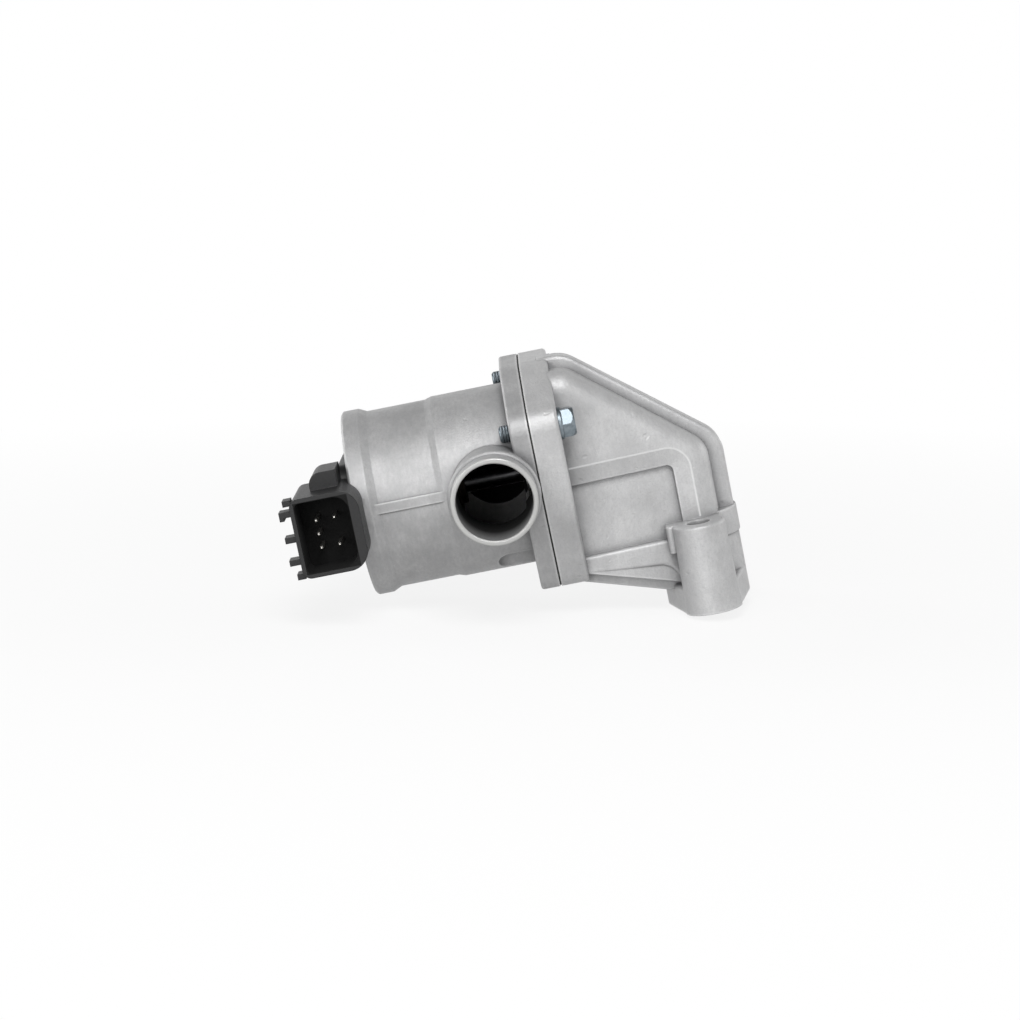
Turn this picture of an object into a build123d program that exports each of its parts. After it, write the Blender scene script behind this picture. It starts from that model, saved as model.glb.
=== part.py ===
from build123d import *
import math
import os

# Secondary air injection solenoid valve, all sizes in mm.
# +X runs along the body axis from the plug end to the outlet, +Y away from the plug's mouth, +Z up.
# The origin is the centre of the outlet port on its sealing face.
# A station is a place along the body axis, counted from the barrel's open end.

# Places of the main axes
AXIS_HEIGHT = 48.0
PORT_STATION = 97.5
BODY_AXIS = Axis((0, 0, AXIS_HEIGHT), (1, 0, 0))

# Barrel and inlet pipe
BARREL_R = 26.7
BARREL_RIM_R = 27.9
BARREL_FOOT_R = 27.3
RIM_WIDTH = 5.0
FOOT_STATION = 27.0
SOLENOID_BORE_R = 23.0
SOLENOID_BORE_DEPTH = 26.0
PARTITION_END = 29.0
CHAMBER_R = 22.0
CHAMBER_END = 49.0
INLET_STATION = 41.3
INLET_BORE_R = 11.0
INLET_PIPE_R = 12.5
INLET_BASE_R = 12.9
INLET_BEAD_R = 13.4
INLET_RIM_Y = -49.0
INLET_BASE_SETBACK = 9.0
INLET_BEAD_SETBACK = 10.5
INLET_BEAD_WIDTH = 2.6
RIDGE_LENGTH = 30.0
RIDGE_WIDTH = 3.2
RIDGE_HEIGHT = 0.5
RIDGE_Z = 1.2

# Flanges, gasket and flange screws
FLANGE_START = 48.75
SEAM_STATION = 54.3
GASKET_THICKNESS = 0.5
COVER_START = SEAM_STATION + GASKET_THICKNESS
COVER_FLANGE_END = 63.2
FLANGE_R = 32.5
LOBE_R = 6.6
SCREW_CIRCLE_R = 31.0
SCREW_ANGLES = (30.0, 120.0, 210.0)
PLAIN_LOBE_ANGLE = 300.0
SCREW_R = 2.5
SCREW_CLEARANCE = 0.1
SCREW_STICKOUT = 3.0
WRENCH_ROOM_R = 6.4
HEAD_ACROSS_FLATS = 8.0
HEAD_LENGTH = 4.7
WASHER_R = 4.7
SCALLOP_R = 6.5
SCALLOP_START = 37.5

# Opening through the cover flange, shared by the gasket
OPENING_HALF_Y = 16.0
OPENING_HALF_Z = 24.0
OPENING_CORNER_R = 8.0

# Outlet cover
HOOD_TOP = 32.7
HOOD_BEND = COVER_FLANGE_END + 5.1
HOOD_END = 109.6
HOOD_CORNER = 0.0
HOOD_LOW = -40.0
HOOD_FLANGE_LOW = -20.0
HOOD_BEND_R = 10.0
RIM_HALF = 4.5
RIM_EDGE_R = 1.2
FACE_TOP = 29.3
FACE_BEND = COVER_FLANGE_END + 4.4
FACE_END = 104.7
FACE_CORNER = -0.8
FACE_LOW = -44.0
FACE_FLANGE_LOW = -30.0
FACE_BEND_R = 8.0
FACE_HALF_START = 19.2
FACE_HALF_END = 12.5
FACE_EDGE_R = 6.5
BELLY_HALF = 11.5
BELLY_TOP = -20.0
BELLY_FLANGE_LOW = -34.0
BELLY_PORT_LOW = -41.5
BELLY_LOW = -43.0
POCKET_DEPTH = 2.2
POCKET_BAND = 5.2
POCKET_BAND_DEPTH = 0.9
POCKET_TOP = 0.7
POCKET_END = 98.7
POCKET_CORNER_R = 7.0
LEDGE_TOP = -26.0
LEDGE_BOTTOM = -31.2
ELBOW_HEIGHT = -33.6
ELBOW_R = 6.0
PORT_OUTER_R = 12.4
PORT_HEIGHT = 26.6
PORT_COLLAR_R = 12.9
PORT_COLLAR = 8.0
PORT_BORE_R = 8.5
PORT_BORE_DEPTH = 18.0
PORT_PLATE = 7.8
BOSS_Y = 20.5
BOSS_R = 8.0
BOSS_TOP = 26.2
BOSS_HOLE_R = 3.5
SHELF_LEFT = 9.6
SHELF_DEPTH = 5.0

# Moving valve
SHAFT_R = 3.0
RUNNING_CLEARANCE = 0.05
STROKE = 5.0
SEAT_BORE_R = 11.0
SEAT_OUTER_R = 13.6
SEAT_START = 50.5
SEAT_LIP = 54.6
SEAL_REST_GAP = 0.02
POPPET_R = 14.5
POPPET_START = 55.8
POPPET_END = 57.6
HUB_END = 58.2
CLIP_END = 59.0
SHAFT_START = 6.4
SHAFT_END = 59.8
GUIDE_OUTER_R = 6.0
GUIDE_END = 32.0
SHAFT_SEAL_START = 30.0
SHAFT_SEAL_R = 4.8
GUIDE_COLLAR_R = 8.4
GUIDE_COLLAR = 1.4
HUB_R = 6.0
CLIP_R = 5.2
CLIP_SLOT = 3.0

# Solenoid
CAP_DEPTH = 4.0
CAP_SLACK = 0.05
YOKE_R = 22.8
YOKE_WALL = 1.6
WASHER_THICKNESS = 2.0
BOBBIN_BORE_R = 8.7
BOBBIN_START = CAP_DEPTH + WASHER_THICKNESS
BOBBIN_END = SOLENOID_BORE_DEPTH - YOKE_WALL
PLUNGER_R = 8.2
PLUNGER_START = 5.6
PLUNGER_END = 13.0
CORE_R = 8.6
CORE_CLEARANCE = 0.4
BOBBIN_WALL = 1.2
BOBBIN_FLANGE_R = 20.8
WINDING_DEPTH_LEFT = 1.2
BUMPER_R = 4.5
CORE_FACE = PLUNGER_END + STROKE + 0.3
SPRING_MEAN_R = 5.2
SPRING_WIRE_R = 0.45
SPRING_TURNS = 5
SPRING_POCKET_R = 6.2
SPRING_START = 10.0
SPRING_END = 22.0

# Plug and end cap
CAP_PLATE = 3.4
CAP_PLATE_HALF_Y = 20.0
CAP_PLATE_HALF_Z = 14.4
CAP_GROOVE_START = 1.2
CAP_GROOVE_END = 3.0
CAP_GROOVE_R = 21.4
NECK_START = -10.6
NECK_TOP = 15.8
NECK_FRONT_Y = -32.0
NECK_BACK_Y = -16.0
STEM_TOP = 11.0
PLUG_STATION = -6.6
PLUG_Z = AXIS_HEIGHT - 0.7
PLUG_WIDTH = 19.6
PLUG_HEIGHT = 23.2
PLUG_WALL = 1.3
PLUG_BARREL_WALL = 2.9
PLUG_MOUTH_Y = -43.0
PLUG_FLOOR_Y = -29.5
PLUG_FLOOR = 2.0
PLUG_BACK_Y = -14.0
BARREL_CLEARANCE = 0.5
RAIL_THICKNESS = 1.7
RAIL_LENGTH = 5.5
RAILS = ((10.7, 1.8), (7.6, 3.4), (0.2, 3.1), (-6.4, 3.2), (-10.7, 1.8))
HOOK_RAIL = 1
HOOK_DROP = 2.6
LID_THICKNESS = 1.5
ROOM_BACK_WALL = 1.5
ROOM_END = -1.7
ROOM_HALF_Z = 8.8
BOARD_THICKNESS = 1.2
BOARD_SLACK = 0.3
PIN_CENTRE = -0.75
PIN_PITCH_X = 5.3
PIN_PITCH_Z = 4.0
PIN_SIDE = 0.9
PIN_TIP_Y = -39.0

# Reed valve
REED_CAVITY_HALF_Y = 13.6
REED_CAVITY_HALF_Z = 22.0
REED_LEDGE = 69.0
REED_SEAL_THICKNESS = 0.8
REED_PLATE_THICKNESS = 2.0
REED_PLATE_START = REED_LEDGE - REED_SEAL_THICKNESS - REED_PLATE_THICKNESS
REED_SLACK = 0.05
REED_SEAL_HALF_Y = 11.2
REED_SEAL_HALF_Z = 18.8
REED_CORNER_R = 4.0
REED_PORT_Y = 4.6
REED_PORT_Z = 11.0
REED_PORT_WIDTH = 7.4
REED_PORT_HEIGHT = 8.6
REED_SCREW_R = 1.2
REED_SCREW_Z = 3.0
REED_SCREW_CLEARANCE = 0.02
REED_HEAD_R = 1.9
REED_HEAD_LENGTH = 1.4
LEAF_THICKNESS = 0.2
LEAF_WIDTH = 18.0
LEAF_LENGTH = 15.9
LEAF_CENTRE_Z = 8.75
LEAF_SLOT = 1.0
STOPPER_HALF_WIDTH = 8.6
STOPPER_THICKNESS = 1.0
STOPPER_LIFT = 5.0
STOPPER_ROOT_Z = 1.0
STOPPER_BEND_Z = 5.5
STOPPER_TIP_Z = 16.0
DUCT_HALF_Y = 10.4
DUCT_HALF_Z = 18.4


def x_of(station):
    return station - PORT_STATION


def turned(points):
    """Solid of revolution about the body axis from (station, radius) points."""
    places = [(x_of(station), 0, AXIS_HEIGHT + radius) for station, radius in points]
    return revolve(make_face(Polyline(*places, close=True)), axis=BODY_AXIS)


def tube(start, end, outer_r, inner_r=0.0):
    """Round tube, or bar, on the body axis."""
    return turned([(start, inner_r), (end, inner_r), (end, outer_r), (start, outer_r)])


def across(start, shape, length):
    """Sketch drawn in (Y, Z about the body axis), drawn out along +X from a station."""
    plane = Plane(origin=(x_of(start), 0, AXIS_HEIGHT), x_dir=(0, 1, 0), z_dir=(1, 0, 0))
    return extrude(plane * shape, amount=length, dir=(1, 0, 0))


def side_on(points, half_width):
    """Solid from a side outline of (station, height about the axis) points, symmetric in Y."""
    places = [(x_of(station), 0, AXIS_HEIGHT + height) for station, height in points]
    face = make_face(Polyline(*places, close=True))
    return extrude(face, amount=half_width, both=True)


def rod(start, direction, radius, length):
    """Round bar from a point along a direction."""
    plane = Plane(origin=start, z_dir=direction)
    return plane * Cylinder(radius, length, align=(Align.CENTER, Align.CENTER, Align.MIN))


def between(x0, x1, y0, y1, z0, z1):
    """Box from its limits along the frame's axes."""
    return Pos((x0 + x1) / 2, (y0 + y1) / 2, (z0 + z1) / 2) * Box(x1 - x0, y1 - y0, z1 - z0)


def circles_beyond(shape, radius):
    """Round edges of a shape that are wider than a radius."""
    return [e for e in shape.edges().filter_by(GeomType.CIRCLE) if e.radius > radius]


def lobe_place(angle):
    """(Y, Z about the body axis) of a flange lobe, by its angle from the front."""
    turn = math.radians(angle)
    return -SCREW_CIRCLE_R * math.cos(turn), SCREW_CIRCLE_R * math.sin(turn)


def screw_places():
    """Places of the lobes that carry a screw."""
    return [lobe_place(angle) for angle in SCREW_ANGLES]


def flange_outline(shrink=0.0):
    """Outline of the joint flange: a disc with four screw lobes that run into it along tangents."""
    disc = Circle(FLANGE_R - shrink)
    outline = disc
    for y, z in screw_places() + [lobe_place(PLAIN_LOBE_ANGLE)]:
        lobe = Pos(y, z) * Circle(LOBE_R - shrink)
        outline += make_hull((disc + lobe).edges())
    return outline


def flange_opening():
    """Opening of the cover flange, also the hole in the gasket."""
    return RectangleRounded(2 * OPENING_HALF_Y, 2 * OPENING_HALF_Z, OPENING_CORNER_R)


# Valve body: one aluminium casting with barrel, inlet pipe and flange
def make_valve_body():
    body = turned(
        [
            (0, 0),
            (0, BARREL_RIM_R - 0.6),
            (0.6, BARREL_RIM_R),
            (RIM_WIDTH, BARREL_RIM_R),
            (RIM_WIDTH + 2.5, BARREL_R),
            (FOOT_STATION - 2, BARREL_R),
            (FOOT_STATION, BARREL_FOOT_R),
            (SEAM_STATION, BARREL_FOOT_R),
            (SEAM_STATION, 0),
        ]
    )
    y, z = lobe_place(PLAIN_LOBE_ANGLE)
    relief_start = (x_of(SCALLOP_START), y, AXIS_HEIGHT + z)
    relief = rod(relief_start, (1, 0, 0), SCALLOP_R, FLANGE_START - SCALLOP_START)
    body -= fillet(relief.edges().group_by(Axis.X)[0], 4.0)
    flange = across(FLANGE_START, flange_outline(), SEAM_STATION - FLANGE_START)
    flange = fillet(flange.edges().group_by(Axis.X)[0], 0.8)
    body += flange
    ridge_centre = x_of(RIM_WIDTH + RIDGE_LENGTH / 2)
    ridge_place = Pos(ridge_centre, -BARREL_R, AXIS_HEIGHT + RIDGE_Z)
    ridge = ridge_place * Box(RIDGE_LENGTH, 2 * RIDGE_HEIGHT, RIDGE_WIDTH)
    body += fillet(ridge.edges().filter_by(Axis.X), RIDGE_HEIGHT / 2)
    inlet = (x_of(INLET_STATION), 0, AXIS_HEIGHT)
    base = rod(inlet, (0, -1, 0), INLET_BASE_R, -INLET_RIM_Y - INLET_BASE_SETBACK)
    body += base
    pipe = rod(inlet, (0, -1, 0), INLET_PIPE_R, -INLET_RIM_Y)
    bead_place = Pos(0, INLET_RIM_Y + INLET_BEAD_SETBACK, 0)
    bead = bead_place * rod(inlet, (0, -1, 0), INLET_BEAD_R, INLET_BEAD_WIDTH)
    bead = fillet(bead.edges(), 0.8)
    body += pipe
    body += bead
    body -= tube(-1, SOLENOID_BORE_DEPTH, SOLENOID_BORE_R)
    body -= tube(PARTITION_END, CHAMBER_END, CHAMBER_R)
    body -= tube(SOLENOID_BORE_DEPTH - 1, PARTITION_END + 1, GUIDE_OUTER_R)
    body -= tube(CHAMBER_END - 1, SEAM_STATION + 1, SEAT_BORE_R)
    body -= tube(SEAT_START, SEAM_STATION + 1, SEAT_OUTER_R)
    body -= rod(inlet, (0, -1, 0), INLET_BORE_R, -INLET_RIM_Y + 1)
    for y, z in screw_places():
        start = (x_of(FLANGE_START - 2), y, AXIS_HEIGHT + z)
        body -= rod(start, (1, 0, 0), SCREW_R + SCREW_CLEARANCE, SEAM_STATION - FLANGE_START + 4)
    rim = body.faces().filter_by(Axis.Y).sort_by(Axis.Y)[0]
    return fillet(rim.edges(), 0.35)


# Gasket between the flanges
def make_flange_gasket():
    outline = flange_outline(0.35) - flange_opening()
    for y, z in screw_places():
        outline -= Pos(y, z) * Circle(SCREW_R + 0.3)
    return across(SEAM_STATION, outline, GASKET_THICKNESS)


def turned_at(y, z, points):
    """Solid of revolution about a screw axis, from (distance past the flange, radius) points."""
    places = [(x_of(COVER_FLANGE_END) + d, y, AXIS_HEIGHT + z + r) for d, r in points]
    axis = Axis((0, y, AXIS_HEIGHT + z), (1, 0, 0))
    return revolve(make_face(Polyline(*places, close=True)), axis=axis)


# Hexagon flange screws, all alike
def make_flange_screws():
    screws = []
    corner_r = HEAD_ACROSS_FLATS / math.sqrt(3)
    crown_start = HEAD_LENGTH - 1.3
    for y, z in screw_places():
        start = FLANGE_START - SCREW_STICKOUT
        place = (x_of(start), y, AXIS_HEIGHT + z)
        shank = rod(place, (1, 0, 0), SCREW_R, COVER_FLANGE_END - start)
        shank = chamfer(shank.edges().group_by(Axis.X)[0], 0.6)
        washer = across(COVER_FLANGE_END, Pos(y, z) * Circle(WASHER_R), 1.1)
        washer = fillet(washer.edges().group_by(Axis.X)[-1], 0.4)
        hexagon = RegularPolygon(HEAD_ACROSS_FLATS / 2, 6, major_radius=False)
        head = across(COVER_FLANGE_END, Pos(y, z) * hexagon, HEAD_LENGTH)
        tip_r = corner_r - 0.9
        crown = [(0, 0), (HEAD_LENGTH, 0), (HEAD_LENGTH, tip_r), (crown_start, corner_r), (0, corner_r)]
        screws.append(shank + washer + (head & turned_at(y, z, crown)))
    return Compound(children=screws)


# Outlet cover: one aluminium casting with flange, hood, port and two mounting bosses
def plan_taper(half_start, half_end):
    """Upright prism whose plan narrows from the flange to the far wall."""
    start = x_of(COVER_FLANGE_END - 3)
    end = x_of(HOOD_END + 3)
    corners = [(start, -half_start), (end, -half_end), (end, half_end), (start, half_start)]
    return extrude(make_face(Polyline(*corners, close=True)), amount=100)


def bends_above(block, lowest):
    """Bends of a side outline past the flange and above a height about the axis."""
    bends = [e for e in block.edges().filter_by(Axis.Y) if e.center().X > x_of(COVER_FLANGE_END)]
    return [e for e in bends if e.center().Z > AXIS_HEIGHT + lowest]


def side_edges(block, lowest):
    """Edges round the front and back of a block, without those in the flange and below a height."""
    sides = block.faces().sort_by(Axis.Y)
    edges = sides[0].edges() + sides[-1].edges()
    edges = [e for e in edges if e.center().X > x_of(COVER_FLANGE_END - 2)]
    return [e for e in edges if e.center().Z > AXIS_HEIGHT + lowest]


def hood_rim():
    """Narrow middle band of the hood, with the outline that is seen from the side."""
    outline = side_on(
        [
            (COVER_FLANGE_END - 3, HOOD_TOP),
            (HOOD_BEND, HOOD_TOP),
            (HOOD_END, HOOD_CORNER),
            (HOOD_END, HOOD_LOW),
            (COVER_FLANGE_END - 3, HOOD_FLANGE_LOW),
        ],
        RIM_HALF,
    )
    outline = fillet(bends_above(outline, HOOD_CORNER - 1), HOOD_BEND_R)
    return fillet(side_edges(outline, HOOD_FLANGE_LOW - 1), RIM_EDGE_R)


def hood_face():
    """Wider front and back of the hood, set in from the rim by a shoulder."""
    outline = side_on(
        [
            (COVER_FLANGE_END - 3, FACE_TOP),
            (FACE_BEND, FACE_TOP),
            (FACE_END, FACE_CORNER),
            (FACE_END, FACE_LOW),
            (COVER_FLANGE_END - 3, FACE_FLANGE_LOW),
        ],
        30,
    )
    outline = fillet(bends_above(outline, FACE_CORNER - 1), FACE_BEND_R)
    block = outline & plan_taper(FACE_HALF_START, FACE_HALF_END)
    return fillet(side_edges(block, FACE_FLANGE_LOW + 2), FACE_EDGE_R)


def belly():
    """Lower wall of the hood, between the flange and the port."""
    return side_on(
        [
            (COVER_FLANGE_END - 3, BELLY_TOP),
            (PORT_STATION, BELLY_TOP),
            (PORT_STATION, BELLY_LOW),
            (PORT_STATION - PORT_OUTER_R, BELLY_PORT_LOW),
            (COVER_FLANGE_END - 3, BELLY_FLANGE_LOW),
        ],
        BELLY_HALF,
    )


def ledge():
    """Rib below the pockets that runs from the flange into the mounting bosses."""
    left = PORT_STATION - BOSS_R
    outline = side_on(
        [
            (COVER_FLANGE_END - 1, LEDGE_TOP),
            (PORT_STATION, LEDGE_TOP),
            (PORT_STATION, -AXIS_HEIGHT + 2),
            (left, -AXIS_HEIGHT + 2),
            (left, ELBOW_HEIGHT),
            (COVER_FLANGE_END - 1, LEDGE_BOTTOM),
        ],
        FACE_HALF_START,
    )
    upright = outline.edges().filter_by(Axis.Y)
    elbow = [e for e in upright if abs(e.center().Z - AXIS_HEIGHT - ELBOW_HEIGHT) < 0.1]
    outline = fillet(elbow, ELBOW_R) & plan_taper(FACE_HALF_START, FACE_HALF_END + 1.5)
    sides = outline.faces().sort_by(Axis.Y)
    edges = sides[0].edges() + sides[-1].edges()
    keep = [e for e in edges if x_of(COVER_FLANGE_END) < e.center().X < x_of(PORT_STATION - 1)]
    return fillet([e for e in keep if e.center().Z > 3], 1.0)


def pocket_outline(side, length, top, corner_r):
    """Outline of a pocket from inside the flange, with one round corner at its upper end."""
    bottom = LEDGE_BOTTOM + 0.4
    corners = [(-6.0, top), (length, top), (length, bottom), (-6.0, bottom)]
    shape = make_face(Polyline(*[(a, -side * b) for a, b in corners], close=True))
    turns = [v for v in shape.vertices() if v.X > 0 and abs(v.Y + side * top) < 0.1]
    return fillet(turns, corner_r)


def pocket(side):
    """Recess in the hood's front or back face, inside a wide sloping band above and at its end."""
    start = COVER_FLANGE_END - 3
    lean = math.atan2(FACE_HALF_START - FACE_HALF_END, HOOD_END + 3 - start)
    along = (math.cos(lean), -side * math.sin(lean), 0)
    outward = (math.sin(lean), side * math.cos(lean), 0)
    plane = Plane(origin=(x_of(start), side * FACE_HALF_START, AXIS_HEIGHT), x_dir=along, z_dir=outward)
    length = (POCKET_END - start) / math.cos(lean)
    slope = math.degrees(math.atan2(POCKET_BAND, POCKET_BAND_DEPTH))
    band = plane * pocket_outline(side, length, POCKET_TOP, POCKET_CORNER_R)
    inner_r = POCKET_CORNER_R - POCKET_BAND
    floor = plane * pocket_outline(side, length - POCKET_BAND, POCKET_TOP - POCKET_BAND, inner_r)
    recess = extrude(band, amount=-POCKET_BAND_DEPTH, taper=slope) + extrude(band, amount=2)
    return recess + extrude(floor, amount=-POCKET_DEPTH)


def mounting_boss(side):
    """Upright boss for a fixing bolt, with a shelf that ties its top to the hood."""
    place = Pos(0, side * BOSS_Y, 0)
    upright = (Align.CENTER, Align.CENTER, Align.MIN)
    boss = place * Cone(BOSS_R + 0.3, BOSS_R - 0.3, BOSS_TOP, align=upright)
    boss = fillet(boss.edges().group_by(Axis.Z)[-1], 0.8)
    front = BOSS_Y - 1.0
    back = front - 2 * SHELF_DEPTH
    low, high = sorted((side * front, side * back))
    shelf = between(-SHELF_LEFT, BOSS_R - 0.8, low, high, BOSS_TOP - 8, BOSS_TOP)
    outer = shelf.edges().filter_by(Axis.Z).group_by(Axis.X)[0]
    shelf = fillet(outer, 1.5)
    return boss + fillet(shelf.edges().group_by(Axis.Z)[-1], 0.6)


def outlet_duct():
    """Hollow of the hood behind the reed valve, down to the port."""
    end = FACE_END - 2.7
    floor = PORT_BORE_DEPTH - AXIS_HEIGHT
    outline = side_on(
        [
            (REED_LEDGE - 1, DUCT_HALF_Z),
            (REED_LEDGE + 8, DUCT_HALF_Z),
            (end - 2.5, 0.0),
            (end, -5.0),
            (end, floor),
            (PORT_STATION - PORT_BORE_R, floor),
            (REED_LEDGE - 1, -DUCT_HALF_Z),
        ],
        30,
    )
    return outline & plan_taper(DUCT_HALF_Y + 1.5, 6.0)


def make_outlet_cover():
    cover = hood_rim() + hood_face()
    for side in (-1, 1):
        cover -= pocket(side)
    cover += belly()
    cover += ledge()
    upright = (Align.CENTER, Align.CENTER, Align.MIN)
    cover += Cylinder(PORT_OUTER_R, PORT_HEIGHT, align=upright)
    collar = Pos(0, 0, PORT_HEIGHT - PORT_COLLAR) * Cylinder(PORT_COLLAR_R, PORT_COLLAR, align=upright)
    cover += fillet(circles_beyond(collar, PORT_COLLAR_R - 0.1), 0.4)
    plate = make_hull((Circle(PORT_OUTER_R) + Pos(0, -BOSS_Y) * Circle(BOSS_R)).edges())
    plate += mirror(plate, about=Plane.XZ)
    plate = extrude(plate, amount=PORT_PLATE)
    cover += fillet(plate.edges().group_by(Axis.Z)[-1], 1.0)
    for side in (-1, 1):
        cover += mounting_boss(side)
    flange = across(COVER_START, flange_outline(), COVER_FLANGE_END - COVER_START)
    cover += fillet(flange.edges().group_by(Axis.X)[-1], 1.2)
    for y, z in screw_places():
        start = (x_of(COVER_FLANGE_END), y, AXIS_HEIGHT + z)
        cover -= rod(start, (1, 0, 0), WRENCH_ROOM_R, 40)
    cover -= across(COVER_START - 1, flange_opening(), COVER_FLANGE_END - COVER_START + 1)
    reed_hole = RectangleRounded(2 * REED_CAVITY_HALF_Y, 2 * REED_CAVITY_HALF_Z, REED_CORNER_R)
    cover -= across(COVER_FLANGE_END - 1, reed_hole, REED_LEDGE - COVER_FLANGE_END + 1)
    cover -= outlet_duct()
    cover -= Pos(0, 0, -1) * Cylinder(PORT_BORE_R, PORT_BORE_DEPTH + 1.5, align=upright)
    for side in (-1, 1):
        hole = Cylinder(BOSS_HOLE_R, BOSS_TOP + 2, align=upright)
        cover -= Pos(0, side * BOSS_Y, -1) * hole
    for y, z in screw_places():
        start = (x_of(COVER_START - 1), y, AXIS_HEIGHT + z)
        cover -= rod(start, (1, 0, 0), SCREW_R + SCREW_CLEARANCE, COVER_FLANGE_END - COVER_START + 3)
    return cover


# Seat ring pressed into the body, with a raised lip
def make_valve_seat():
    return turned(
        [
            (SEAT_START, SEAT_BORE_R),
            (SEAT_LIP, SEAT_BORE_R),
            (SEAT_LIP, SEAT_BORE_R + 0.8),
            (SEAM_STATION, SEAT_BORE_R + 1.4),
            (SEAM_STATION, SEAT_OUTER_R),
            (SEAT_START, SEAT_OUTER_R),
        ]
    )


# Moving valve: shaft, plate, rubber face and clip
def make_valve_shaft():
    return turned(
        [
            (SHAFT_START, 0),
            (SHAFT_START, SHAFT_R - 0.5),
            (SHAFT_START + 0.5, SHAFT_R),
            (HUB_END, SHAFT_R),
            (HUB_END, SHAFT_R - 0.7),
            (CLIP_END, SHAFT_R - 0.7),
            (CLIP_END, SHAFT_R - 0.2),
            (SHAFT_END, SHAFT_R - 0.6),
            (SHAFT_END, 0),
        ]
    )


def make_poppet_disc():
    disc = tube(POPPET_START, POPPET_END, POPPET_R, SHAFT_R)
    disc = fillet(circles_beyond(disc, POPPET_R - 0.1), 0.5)
    return disc + tube(POPPET_END, HUB_END, HUB_R, SHAFT_R)


def make_poppet_seal():
    return turned(
        [
            (SEAT_LIP + SEAL_REST_GAP, SEAT_BORE_R - 1.6),
            (SEAT_LIP + SEAL_REST_GAP, SEAT_BORE_R + 2.2),
            (POPPET_START, SEAT_BORE_R + 2.8),
            (POPPET_START, SEAT_BORE_R - 2.2),
        ]
    )


def make_poppet_clip():
    clip = tube(HUB_END, CLIP_END, CLIP_R, SHAFT_R - 0.7)
    slot = Pos(x_of(HUB_END), 0, AXIS_HEIGHT - 4) * Box(4, CLIP_SLOT, 8)
    return clip - slot


# Guide bush in the partition and the shaft seal in its end
def make_guide_bush():
    bore = SHAFT_R + RUNNING_CLEARANCE
    return turned(
        [
            (SOLENOID_BORE_DEPTH, bore),
            (SHAFT_SEAL_START, bore),
            (SHAFT_SEAL_START, SHAFT_SEAL_R),
            (GUIDE_END, SHAFT_SEAL_R),
            (GUIDE_END, GUIDE_OUTER_R),
            (PARTITION_END + GUIDE_COLLAR, GUIDE_OUTER_R),
            (PARTITION_END + GUIDE_COLLAR, GUIDE_COLLAR_R),
            (PARTITION_END, GUIDE_COLLAR_R),
            (PARTITION_END, GUIDE_OUTER_R),
            (SOLENOID_BORE_DEPTH, GUIDE_OUTER_R),
        ]
    )


def make_shaft_seal():
    return tube(SHAFT_SEAL_START, GUIDE_END, SHAFT_SEAL_R, SHAFT_R + RUNNING_CLEARANCE)


# Solenoid: yoke cup, washer, bobbin, winding, core, plunger, bumper and spring
def make_solenoid_yoke():
    inner = YOKE_R - YOKE_WALL
    return turned(
        [
            (CAP_DEPTH, inner),
            (BOBBIN_END, inner),
            (BOBBIN_END, CORE_R),
            (SOLENOID_BORE_DEPTH, CORE_R),
            (SOLENOID_BORE_DEPTH, YOKE_R - 1.0),
            (SOLENOID_BORE_DEPTH - 1.0, YOKE_R),
            (CAP_DEPTH, YOKE_R),
        ]
    )


def make_yoke_washer():
    return tube(CAP_DEPTH, BOBBIN_START, YOKE_R - YOKE_WALL, BOBBIN_BORE_R)


def make_coil_bobbin():
    return turned(
        [
            (BOBBIN_START, BOBBIN_BORE_R),
            (BOBBIN_END, BOBBIN_BORE_R),
            (BOBBIN_END, BOBBIN_FLANGE_R),
            (BOBBIN_END - BOBBIN_WALL, BOBBIN_FLANGE_R),
            (BOBBIN_END - BOBBIN_WALL, BOBBIN_BORE_R + BOBBIN_WALL),
            (BOBBIN_START + BOBBIN_WALL, BOBBIN_BORE_R + BOBBIN_WALL),
            (BOBBIN_START + BOBBIN_WALL, BOBBIN_FLANGE_R),
            (BOBBIN_START, BOBBIN_FLANGE_R),
        ]
    )


def make_coil_winding():
    start = BOBBIN_START + BOBBIN_WALL
    end = BOBBIN_END - BOBBIN_WALL
    return tube(start, end, BOBBIN_FLANGE_R - WINDING_DEPTH_LEFT, BOBBIN_BORE_R + BOBBIN_WALL)


def make_fixed_core():
    return turned(
        [
            (CORE_FACE, SPRING_POCKET_R),
            (SPRING_END, SPRING_POCKET_R),
            (SPRING_END, SHAFT_R + CORE_CLEARANCE),
            (SOLENOID_BORE_DEPTH, SHAFT_R + CORE_CLEARANCE),
            (SOLENOID_BORE_DEPTH, CORE_R),
            (CORE_FACE + 0.4, CORE_R),
            (CORE_FACE, CORE_R - 0.4),
        ]
    )


def make_plunger():
    return turned(
        [
            (PLUNGER_START, 0),
            (SHAFT_START, 0),
            (SHAFT_START, SHAFT_R),
            (SPRING_START, SHAFT_R),
            (SPRING_START, SPRING_POCKET_R),
            (PLUNGER_END, SPRING_POCKET_R),
            (PLUNGER_END, PLUNGER_R - 0.4),
            (PLUNGER_END - 0.4, PLUNGER_R),
            (PLUNGER_START + 0.6, PLUNGER_R),
            (PLUNGER_START, PLUNGER_R - 0.6),
        ]
    )


def make_plunger_bumper():
    bumper = tube(CAP_DEPTH, PLUNGER_START - SEAL_REST_GAP, BUMPER_R)
    return fillet(bumper.edges().group_by(Axis.X)[-1], 0.4)


def make_return_spring():
    length = SPRING_END - SPRING_START - 2 * SPRING_WIRE_R
    path = Helix(pitch=length / SPRING_TURNS, height=length, radius=SPRING_MEAN_R)
    wire = Plane(origin=path @ 0, z_dir=path % 0) * Circle(SPRING_WIRE_R)
    coil = sweep(wire, path=path, is_frenet=True)
    place = (x_of(SPRING_START + SPRING_WIRE_R), 0, AXIS_HEIGHT)
    return Plane(origin=place, x_dir=(0, 1, 0), z_dir=(1, 0, 0)) * coil


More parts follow.
